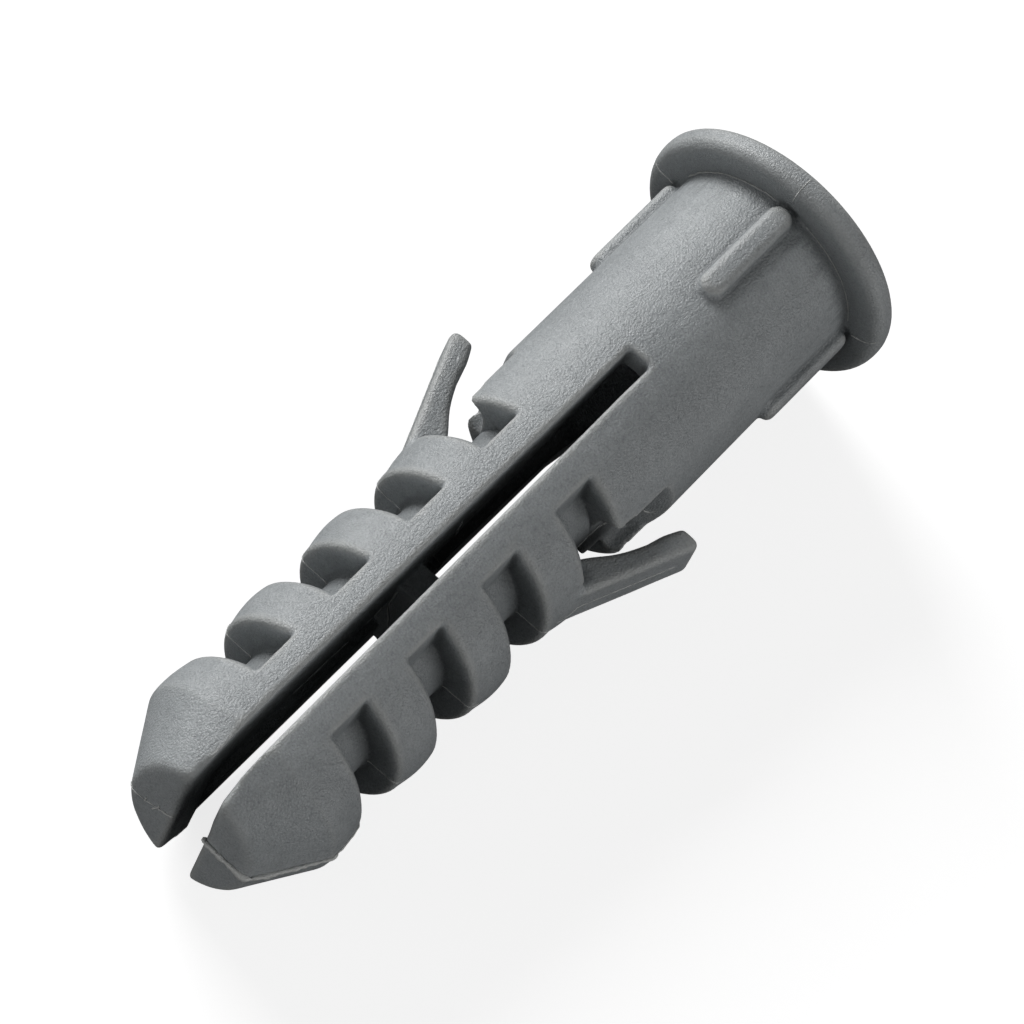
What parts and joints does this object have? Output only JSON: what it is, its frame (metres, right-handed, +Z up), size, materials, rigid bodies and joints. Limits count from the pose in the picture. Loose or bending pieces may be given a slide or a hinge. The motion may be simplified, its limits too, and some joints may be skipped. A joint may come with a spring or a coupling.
{
  "type": "nylon wall plug",
  "caption": "Collared expansion wall plug with split toothed legs, two folding side wings, short ribs under the collar and a screw bore.",
  "frame": {"origin": "bottom centre of the plug's box as it lies on a flat surface", "axes": "+X from the collar to the tip, +Z up with the slot facing up, +Y towards one wing; the plug's own axis dips towards the tip, because the collar is wider than the legs"},
  "size_m": [0.0414, 0.0146, 0.0134],
  "materials": {
    "nylon": "grey injection-moulded nylon with a fine leathery grain, satin to matt"
  },
  "bodies": {
    "root": {"wall_plug": "nylon"}
  },
  "joints": []
}
